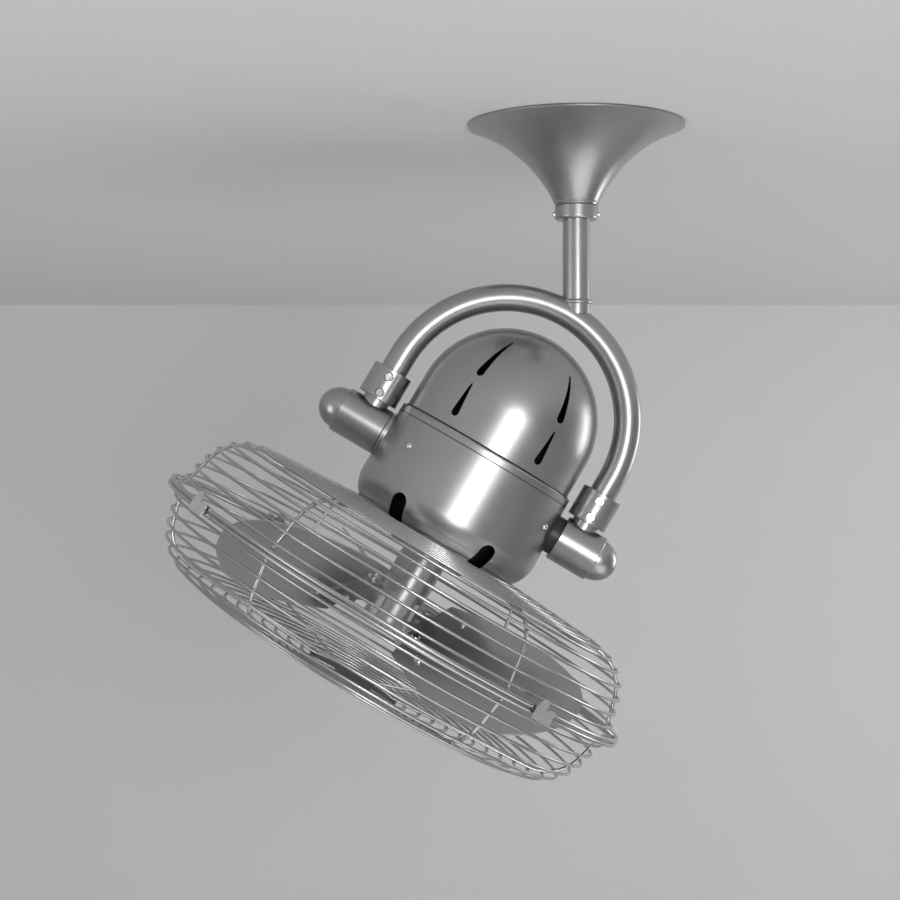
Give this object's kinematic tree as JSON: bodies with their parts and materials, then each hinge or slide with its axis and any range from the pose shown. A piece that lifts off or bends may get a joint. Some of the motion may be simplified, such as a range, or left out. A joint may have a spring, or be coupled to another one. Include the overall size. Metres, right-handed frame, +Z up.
{
  "type": "ceiling fan",
  "caption": "Directional ceiling fan: caged three-blade fan head with a domed motor, tilting in a half-round yoke on a downrod with a bell canopy.",
  "frame": {"origin": "centre of the ceiling bracket's upper face, in the ceiling plane", "axes": "+Z up along the downrod, +X to the right along the yoke, -Y to the viewer"},
  "size_m": [0.414, 0.4116, 0.5203],
  "materials": {
    "satin_metal": "satin",
    "plated_wire": "satin plated",
    "blade_metal": "satin",
    "screw_steel": "bright plated",
    "zinc_sheet": "plain zinc",
    "black_plastic": "matte",
    "motor_iron": "plain",
    "winding_copper": "enamelled"
  },
  "bodies": {
    "ceiling_mount": {"ceiling_bracket": "zinc_sheet", "canopy": "satin_metal"},
    "yoke_arm": {"hanger_ball": "black_plastic", "hanger_pin": "screw_steel", "downrod": "satin_metal", "canopy_collar": "satin_metal", "collar_screws": "screw_steel", "yoke": "satin_metal", "clamp_collar_left": "satin_metal", "clamp_collar_right": "satin_metal", "clamp_screws": "screw_steel", "trunnion_left": "satin_metal", "trunnion_right": "satin_metal", "bullet_cap_left": "satin_metal", "bullet_cap_right": "satin_metal"},
    "head": {"pivot_boss_left": "satin_metal", "lower_housing": "satin_metal", "upper_dome": "satin_metal", "rear_grille": "plated_wire", "front_grille": "plated_wire", "front_cap": "plated_wire", "grille_plate": "plated_wire", "housing_screws": "screw_steel", "motor_screws": "screw_steel", "grille_screws": "screw_steel", "pivot_bolts": "screw_steel", "pivot_nuts": "screw_steel", "spring_washers": "screw_steel", "motor_bearings": "screw_steel", "motor_frame": "zinc_sheet", "capacitor_strap": "zinc_sheet", "motor_shell_upper": "zinc_sheet", "motor_shell_lower": "zinc_sheet", "pivot_spacer_right": "black_plastic", "friction_washers": "black_plastic", "capacitor": "black_plastic", "stator_core": "motor_iron", "stator_windings": "winding_copper"},
    "rotor": {"motor_shaft": "screw_steel", "motor_rotor": "motor_iron", "hub": "satin_metal", "hub_screws": "screw_steel", "blade_screws": "screw_steel", "blade_1": "blade_metal", "blade_2": "blade_metal", "blade_3": "blade_metal", "blade_bracket_1": "blade_metal", "blade_bracket_2": "blade_metal", "blade_bracket_3": "blade_metal"},
    "clip_1": {"grille_clip_1": "plated_wire"},
    "clip_2": {"grille_clip_2": "plated_wire"},
    "clip_3": {"grille_clip_3": "plated_wire"},
    "clip_4": {"grille_clip_4": "plated_wire"}
  },
  "joints": [
    {"name": "rod_swivel", "type": "hinge", "parent": "ceiling_mount", "child": "yoke_arm", "pos_m": [0, 0, -0.025], "axis": [0, 0, 1], "range_deg": [-165, 165]},
    {"name": "head_tilt", "type": "hinge", "parent": "yoke_arm", "child": "head", "pos_m": [-0.0871, 0, -0.2874], "axis": [0.8604, 0, -0.5096], "range_deg": [-90, 90]},
    {"name": "blade_spin", "type": "hinge", "parent": "head", "child": "rotor", "pos_m": [-0.14591, 0, -0.38669], "axis": [0.5096, 0, 0.8604], "continuous": true},
    {"name": "clip_1_hinge", "type": "hinge", "parent": "head", "child": "clip_1", "pos_m": [-0.03762, -0.15965, -0.45304], "axis": [0.6733, 0.6225, -0.3989], "range_deg": [0, 90]},
    {"name": "clip_2_hinge", "type": "hinge", "parent": "head", "child": "clip_2", "pos_m": [-0.28424, -0.12699, -0.30696], "axis": [0.5356, -0.7826, -0.3173], "range_deg": [0, 90]},
    {"name": "clip_3_hinge", "type": "hinge", "parent": "head", "child": "clip_3", "pos_m": [-0.25614, 0.15965, -0.3236], "axis": [-0.6733, -0.6225, 0.3989], "range_deg": [0, 90]},
    {"name": "clip_4_hinge", "type": "hinge", "parent": "head", "child": "clip_4", "pos_m": [-0.00952, 0.12699, -0.46969], "axis": [-0.5356, 0.7826, 0.3173], "range_deg": [0, 90]}
  ]
}
